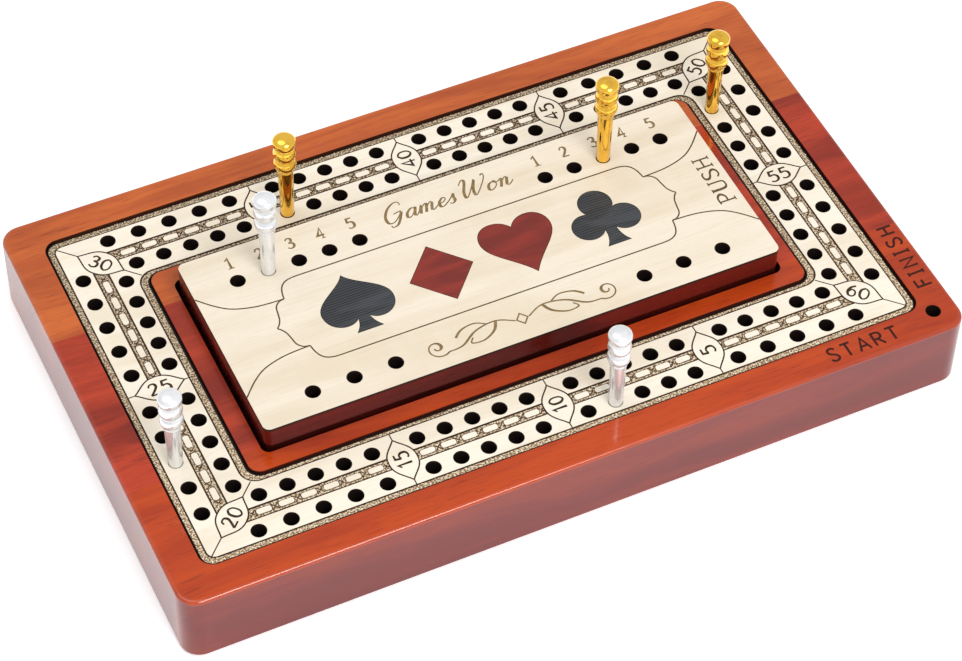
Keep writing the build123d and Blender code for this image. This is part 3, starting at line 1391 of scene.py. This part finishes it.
    def build(self, maple: Material, burnt: Material, ground: Material, rim: Material,
              grains: Material) -> None:
        """Carve the plate and grow its links and stippling.

        Args:
            maple: the face and the links.
            burnt: the lines.
            ground: the punched ground.
            rim: the rims of the holes and the outer edge.
            grains: the stippling.
        """
        self.draw()
        face = self.plate.carve("track_face", [maple, burnt, ground, rim])
        settle(face, "board", "maple_veneer", "track_veneer")
        foot = (self.plate.top - Cut.GROUND.value[0] - self.link_sunk) * MM
        count, runs = self.links_in_a_run, self.runs()
        marks = [(between(start, end, (k + 0.5) / count), turn)
                 for start, end, turn in runs for k in range(count)]
        pitch = sum(math.dist(start, end) / count for start, end, _ in runs) / len(runs)
        seeds = points_mesh([(x * MM, y * MM, foot) for (x, y), _ in marks], "turn",
                            [math.radians(turn) for _, turn in marks])
        links = LinkTree().grow(
            "track_chain_links", seeds, Length=pitch * self.link_share * MM,
            Width=self.link_width * MM, Corner=self.link_corner * MM,
            Height=self.link_height * MM, Material=maple)
        settle(links, "board", "maple_veneer")
        stipple = StippleTree().grow(
            "track_stipple", self.plate.surface(Cut.GROUND), Spacing=self.grain_spacing * MM,
            Radius=self.grain_radius * MM, Flatness=self.grain_flatness,
            Density=self.grains_per_square_metre, Seed=7, Material=grains)
        settle(stipple, "board", "maple_veneer")


# --- The lid ---
@dataclass
class Lid:
    """The lid's block and its engraved maple face.

    Sizes are millimetres from the lid's middle. The panel is drawn in one quarter and mirrored
    about its middle line.
    """

    middle: float = -0.7
    fine: float = 0.34
    rim_width: float = 0.26
    widest_hole: float = 4.0
    figure_size: Point = (1.65, 3.0)
    figure_rise: float = 5.35
    panel: Point = (38.3, 12.1)
    cusp: Point = (43.1, 7.1)
    bracket: tuple[Point, ...] = ((44.4, 6.8), (45.5, 5.6), (45.9, 3.65), (46.25, 2.0),
                                  (46.9, 0.75), (47.6, 0.0))
    sweep_edge: float = 14.7
    sweep: tuple[Point, ...] = ((57.3, 11.2), (54.0, 8.9), (49.0, 7.5))
    words_centre: Point = (0.7, 17.9)
    words_size: Point = (31.0, 2.45)
    push_centre: Point = (57.0, -0.9)
    push_size: Point = (13.8, 3.7)
    flourish_centre: Point = (0.95, -19.6)
    scroll: Point = (20.0, 2.9)
    scroll_tightening: float = 0.19
    scroll_start: float = 2.4
    scroll_step: float = 0.35
    scroll_swell: float = 0.4
    scroll_sweep: tuple[Point, ...] = ((1.6, 0.0), (5.5, 1.8), (10.5, 1.0), (14.6, -1.6))
    scroll_leaf: tuple[Point, ...] = ((7.5, 1.7), (10.0, 3.0), (13.2, 2.5), (15.2, 0.9))
    scroll_tail: tuple[Point, ...] = ((5.5, 1.8), (6.8, -0.5), (9.8, -2.1), (12.6, -1.8),
                                      (11.8, -0.5))
    lozenge: tuple[Point, ...] = ((1.3, 0.0), (0.0, 1.5), (-1.3, 0.0), (0.0, -1.5))
    figures: Hand = Hand(BLOCK, 0.34, swell=0.28, serifs=True)
    capitals: Hand = Hand(BLOCK, 0.42, swell=0.26, gap=0.24, serifs=True)
    script: Hand = Hand(ROUND_HAND, 0.28, swell=0.42, gap=0.0, slant=0.30)

    def __post_init__(self) -> None:
        """Take the face's outline, suits and holes, and the block's box, from the frame."""
        self.plate = EngravedPlate.of_node("lid_veneer")
        self.outline, *self.openings = top_rings("lid_veneer")
        self.holes = [ring for ring in self.openings if width_of(ring) < self.widest_hole]
        self.low, self.high = (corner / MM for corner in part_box("lid_block"))
        self.half = (self.high - self.low) / 2

    def grown(self, along: float, across: float) -> Point:
        """Half sizes of the block with a margin on its length and on its width."""
        return (self.half.x + along, self.half.y + across)

    def dress_block(self) -> None:
        """Give the block its wood, with painted shade in its holes and round its foot."""
        centre = (self.high + self.low) / 2
        # painted shade: the walls of the holes in the block, darkened where shade falls
        inside = ShadedHollow(self.grown(-0.25, -0.25), 1.2, self.low.z + 0.1, self.high.z - 0.05,
                        centre=(centre.x, centre.y))
        # painted shade: the foot and lower sides of the block, darkened where the gap round the
        # lid lies in shadow
        dress_node("lid_block", LacqueredWood(
            "lid_wood", tone(98, 22, 14), tone(64, 9, 7), tone(38, 7, 5), 21.0, (inside,),
            side=tone(24, 8, 6), side_shade_share=0.72, side_shade_top=20.6,
            side_shade_half=self.grown(-1.25, -1.25)).make())

    def dress_suits(self) -> None:
        """Give the four suits their dyed veneers."""
        ebony = DyedInlay("ebony", tone(70, 73, 78), tone(18, 20, 24), 0.68, 0.6, 4.0).make()
        rosewood = DyedInlay("rosewood", tone(150, 46, 30), tone(104, 28, 20), 0.9, 0.12,
                             11.0).make()
        for suit, finish in (("spade", ebony), ("club", ebony), ("diamond", rosewood),
                             ("heart", rosewood)):
            dress_node(f"{suit}_inlay", finish)

    def draw_panel(self) -> None:
        """Thin line panel round the suits, with bracketed ends and corner sweeps."""
        reach, high = self.panel
        cusp_x, cusp_y = self.cusp
        edge = max(x for x, _ in self.outline)
        shoulder = bowed([(reach, high), (cusp_x - 1.2, high), (cusp_x - 0.4, high - 1.6),
                          (cusp_x, cusp_y)])
        lines = [shoulder, through([self.cusp, *self.bracket]),
                 through([(edge, self.sweep_edge), *self.sweep, self.cusp]),
                 [(0.0, high), (reach, high)]]
        for side in (1, -1):
            for up in (1, -1):
                for line in lines:
                    drawn = [(side * x, self.middle + up * y) for x, y in line]
                    self.plate.paint(stroke(drawn, self.fine), Cut.LINE)

    def draw_figures(self) -> None:
        """Figures 1 to 5 over each half of the back row of holes."""
        row = sorted(centre for centre in map(centre_of, self.holes) if centre[1] > 0)
        for index, (x, y) in enumerate(row):
            self.plate.paint(self.figures.write(str(index % 5 + 1), (x, y + self.figure_rise),
                                                self.figure_size), Cut.GROUND)

    def draw_flourish(self) -> None:
        """A pair of scrolls either side of a small lozenge."""
        out, first = self.scroll
        spiral: Ring = []
        for k in range(26):
            angle = self.scroll_step * k
            radius = first * math.exp(-self.scroll_tightening * angle)
            spiral.append((out + radius * math.cos(angle - self.scroll_start),
                           radius * math.sin(angle - self.scroll_start)))
        lines = (through([*self.scroll_sweep, spiral[0]]) + spiral[1:],
                 through(self.scroll_leaf), through(self.scroll_tail))
        for mirror in (False, True):
            for line in lines:
                self.plate.paint(stroke(placed(line, self.flourish_centre, mirror=mirror),
                                        self.fine, swell=self.scroll_swell), Cut.GROUND)
        lozenge = placed(self.lozenge, self.flourish_centre)
        self.plate.paint(stroke(lozenge, self.fine, closed=True), Cut.GROUND)

    def build_face(self, rim: Material) -> None:
        """Draw the engraving and carve the face.

        Args:
            rim: the rims of the holes and suits.
        """
        maple = MapleFace("lid_maple", tone(222, 211, 193), tone(211, 197, 174),
                          tone(200, 181, 150), 9.0).make()
        lines = BurntWood("lid_line", tone(84, 66, 38), tone(120, 98, 62)).make()
        lettering = BurntWood("lid_lettering", tone(118, 94, 58), tone(158, 134, 94)).make()
        paint = self.plate.paint
        paint([self.outline], Cut.FACE)
        self.draw_panel()
        self.draw_figures()
        paint(self.script.write("Games Won", self.words_centre, self.words_size), Cut.GROUND)
        self.draw_flourish()
        paint(self.capitals.write("PUSH", self.push_centre, self.push_size, 90.0), Cut.LINE)
        # dark rings round the holes: scorch, widened by painted shade round the empty holes
        paint(scorch_and_shade_rims(self.holes), Cut.RIM)
        for opening in self.openings:
            if opening not in self.holes:
                paint(stroke(opening, self.rim_width, closed=True), Cut.RIM)
        paint(self.openings, Cut.OPEN)
        face = self.plate.carve("lid_face", [maple, lines, lettering, rim])
        settle(face, "lid", "maple_veneer", "lid_veneer")


# --- The slab and its lettering ---
@dataclass
class Slab:
    """The three lacquered staves and the words burnt into the border."""

    words: tuple[tuple[str, Point, Point, float], ...] = (
        ("START", (67.0, -51.55), (16.8, 3.45), 0.0),
        ("FINISH", (87.6, -33.3), (18.6, 3.45), 90.0))
    capitals: Hand = Hand(BLOCK, 0.55, gap=0.36)
    island: tuple[Point, float] = ((65.57, 29.97), 2.7)
    recess_gap: float = 0.43
    recess_corner: float = 3.3
    pocket_gaps: Point = (0.83, 1.03)
    pocket_corner: float = 1.9
    lone_hole: float = 1.72
    deep: float = 5.0

    def __post_init__(self) -> None:
        """Take the height of its top from the frame."""
        self.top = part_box("board_stave_front")[1].z / MM

    def dress(self, lid: Lid) -> None:
        """Give each stave its own wood, with painted shade in the recess, the pocket and the lone
        hole.

        Args:
            lid: the lid that lies in the pocket.
        """
        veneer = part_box("track_veneer")[1] / MM
        start = next(mount for mount in frame["record"]["mounts"]
                     if mount["name"] == "start_hole")
        high, hole = self.top + 0.1, self.lone_hole
        # painted shade: the gap round the veneer, the pocket's walls and the lone hole, darkened
        # where shade falls
        shaded_hollows = (
            ShadedHollow((veneer.x + self.recess_gap, veneer.y + self.recess_gap),
                   self.recess_corner, self.deep, high, spared=self.island),
            ShadedHollow(lid.grown(*self.pocket_gaps), self.pocket_corner, lid.low.z + 0.06, high),
            ShadedHollow((hole, hole), hole - 0.02, self.deep, high,
                   centre=tuple(part / MM for part in start["pos_m"][:2])))
        for stave, light, dark, pore, seed in (
                ("front", tone(178, 64, 14), tone(148, 44, 12), tone(84, 20, 10), 3.0),
                ("centre", tone(172, 56, 28), tone(126, 34, 18), tone(70, 16, 10), 8.0),
                ("back", tone(190, 95, 40), tone(156, 68, 28), tone(94, 28, 14), 13.0)):
            wood = LacqueredWood(f"stave_{stave}", light, dark, pore, seed, shaded_hollows)
            dress_node(f"board_stave_{stave}", wood.make())

    def letter(self) -> None:
        """Lay the border's words in thin burnt pieces, set into the lacquer."""
        burnt = BurntWood("burnt_word", tone(44, 12, 8), tone(80, 24, 14)).make()
        plate = EngravedPlate(self.top + 0.02, 0.06)
        for word, centre, size, turn in self.words:
            plate.paint(self.capitals.write(word, centre, size, turn), Cut.FACE)
        settle(plate.carve("border_words", [burnt] * 4), "board", "stave_orange")


# --- Pegs ---
@dataclass
class Peg:
    """One turned metal peg: radii, and heights above its tip, in millimetres."""

    node: str
    metal: Material
    slot: str
    sides: int = 56
    tip_radius: float = 1.42
    shank_radius: float = 1.75
    collar_radius: float = 1.95
    groove_radius: float = 1.95
    bead_radius: float = 2.56
    cap_radius: float = 2.6
    shank_top: float = 22.2
    collar_top: float = 22.7
    first_groove: float = 26.0
    second_groove: float = 29.5
    cap_height: float = 31.3
    groove_gap: float = 0.08

    def bead(self, heights: Point, ends: Point, middle: float, skew: float = 1.0,
             fullness: float = 2.3, steps: int = 14) -> Ring:
        """Profile of one bead.

        Args:
            heights: where it starts and ends.
            ends: its radius there.
            middle: its greatest radius.
            skew: below 1 puts the greatest radius higher.
            fullness: 2 is round, more is squarer.
            steps: straight runs along it.

        Returns:
            Its points, each a radius and a height.
        """
        ring: Ring = []
        for step in range(steps + 1):
            share = step / steps
            swell = (1 - abs(2 * share**(1 / skew) - 1) ** fullness) ** (1 / fullness)
            plain, height = between((ends[0], heights[0]), (ends[1], heights[1]), share)
            ring.append((plain + (middle - plain) * swell, height))
        return ring

    def profile(self, length: float) -> Ring:
        """The whole profile from the tip's centre to the button's centre.

        Args:
            length: length of the peg.

        Returns:
            Its points, each a radius and a height.
        """
        shank, groove, wide = self.shank_radius, self.groove_radius, self.cap_radius
        first, second, gap = self.first_groove, self.second_groove, self.groove_gap
        foot = [(0.0, 0.0), (self.tip_radius - 0.25, 0.001), (self.tip_radius, 0.35),
                (shank, self.shank_top - 0.05)]
        collar = self.bead((self.shank_top, self.collar_top), (shank, shank + 0.05),
                           self.collar_radius, steps=6)
        lower = self.bead((self.collar_top + 0.05, first - gap), (shank + 0.1, groove),
                          self.bead_radius, skew=0.8, fullness=1.6)
        upper = self.bead((first + gap, second - gap), (groove, groove), self.bead_radius,
                          fullness=1.5)
        under = [(groove + (wide - groove) * math.sin(angle) ** 0.8,
                  second + 0.1 + (self.cap_height - second - 0.1) * (1 - math.cos(angle)))
                 for angle in (math.pi / 2 * k / 7 for k in range(8))]
        dome = [(wide * math.cos(angle) ** 0.85,
                 self.cap_height + (length - self.cap_height) * math.sin(angle) ** 1.1)
                for angle in (math.pi / 2 * k / 14 for k in range(1, 14))]
        return foot + collar + lower + upper + under + dome + [(0.0, length)]

    def build(self, lathe: TurningTree) -> None:
        """Turn the peg where its CAD node stands.

        Args:
            lathe: the tree that turns it.
        """
        low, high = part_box(self.node)
        centre = (low + high) / 2
        ring = self.profile((high.z - low.z) / MM)
        seed = points_mesh([(centre.x, centre.y, low.z + height * MM) for _, height in ring],
                           "reach", [max(radius, 0.0) * MM for radius, _ in ring], joined=True)
        piece = lathe.grow(self.node + "_turned", seed, Sides=self.sides, Material=self.metal)
        settle(piece, self.node, self.slot, self.node)


# --- Studio ---
@dataclass
class Studio:
    """A pale floor, soft light and a long lens."""

    eye: Place = (-0.19557, -0.40175, 0.5318)
    forward: Place = (0.28271, 0.57836, -0.76523)
    roll: float = 1.23
    lens: float = 116.67
    sensor: float = 36.0
    sky: float = 0.78
    lamps: tuple[tuple[str, Place, float, float], ...] = (
        ("key", (0.1, -0.75, 0.95), 0.6, 8.5), ("fill", (-0.3, 0.3, 1.3), 0.9, 3.0))

    def floor(self, material: Material) -> None:
        """Lay the floor just under the board.

        Args:
            material: its finish.
        """
        half, drop = 3.0, 0.0001
        mesh = bpy.data.meshes.new("floor")
        mesh.from_pydata([(x * half, y * half, -drop) for x, y in
                          ((-1, -1), (1, -1), (1, 1), (-1, 1))], [], [(0, 1, 2, 3)])
        mesh.materials.append(material)
        add_piece("floor", mesh)

    def light(self) -> None:
        """Even sky, a soft lamp in front and a fill above."""
        world = bpy.data.worlds.new("studio")
        world.use_nodes = True
        sky = world.node_tree.nodes["Background"].inputs
        sky["Color"].default_value = (1, 1, 1, 1)
        sky["Strength"].default_value = self.sky
        bpy.context.scene.world = world
        for name, place, size, power in self.lamps:
            lamp = bpy.data.lights.new(name, "AREA")
            lamp.shape = "DISK"
            lamp.size = size
            lamp.energy = power
            holder = bpy.data.objects.new(name, lamp)
            holder.location = place
            holder.rotation_euler = (-Vector(place)).to_track_quat("-Z", "Y").to_euler()
            bpy.context.scene.collection.objects.link(holder)

    def aim(self) -> None:
        """Set the camera and a plain view of its colours."""
        lens = bpy.data.cameras.new("camera")
        lens.lens = self.lens
        lens.sensor_width = self.sensor
        camera = bpy.data.objects.new("camera", lens)
        camera.matrix_world = Vector(self.forward).to_track_quat("-Z", "Y").to_matrix().to_4x4()
        camera.rotation_euler.rotate_axis("Z", math.radians(self.roll))
        camera.location = self.eye
        bpy.context.scene.collection.objects.link(camera)
        bpy.context.scene.camera = camera
        bpy.context.scene.view_settings.view_transform = "Standard"


def main() -> None:
    """Build the studio and every piece in order."""
    logging.basicConfig(level=logging.INFO, format="%(message)s")
    studio = Studio()
    studio.aim()
    studio.light()
    studio.floor(PaleFloor().make())

    slab, lid = Slab(), Lid()
    slab.dress(lid)
    slab.letter()
    lid.dress_block()

    rim = BurntWood("burnt_rim", tone(20, 13, 10), tone(44, 28, 20), 0.3).make()
    TrackVeneer().build(
        MapleFace("maple_face", tone(230, 221, 205), tone(219, 207, 186),
                  tone(206, 188, 158), 2.0).make(),
        BurntWood("burnt_line", tone(44, 30, 20), tone(84, 60, 38)).make(),
        PunchedGround("punched_ground", tone(236, 222, 194), tone(130, 100, 68),
                      tone(52, 36, 24), 0.42).make(),
        rim,
        BurntWood("stipple_grain", tone(226, 210, 180), tone(160, 132, 98), 0.7).make())
    lid.build_face(rim)
    lid.dress_suits()

    gold = PolishedMetal("polished_gold", tone(250, 200, 78), tone(200, 142, 42), 0.06,
                         0.94).make()
    silver = PolishedMetal("polished_silver", tone(234, 236, 238), tone(206, 207, 210), 0.16,
                           0.6).make()
    lathe = TurningTree()
    for node in peg_nodes():
        metal, slot = (gold, "gold_metal") if node.startswith("gold") else (silver,
                                                                            "silver_metal")
        Peg(node, metal, slot).build(lathe)


if __name__ == "__main__":
    main()
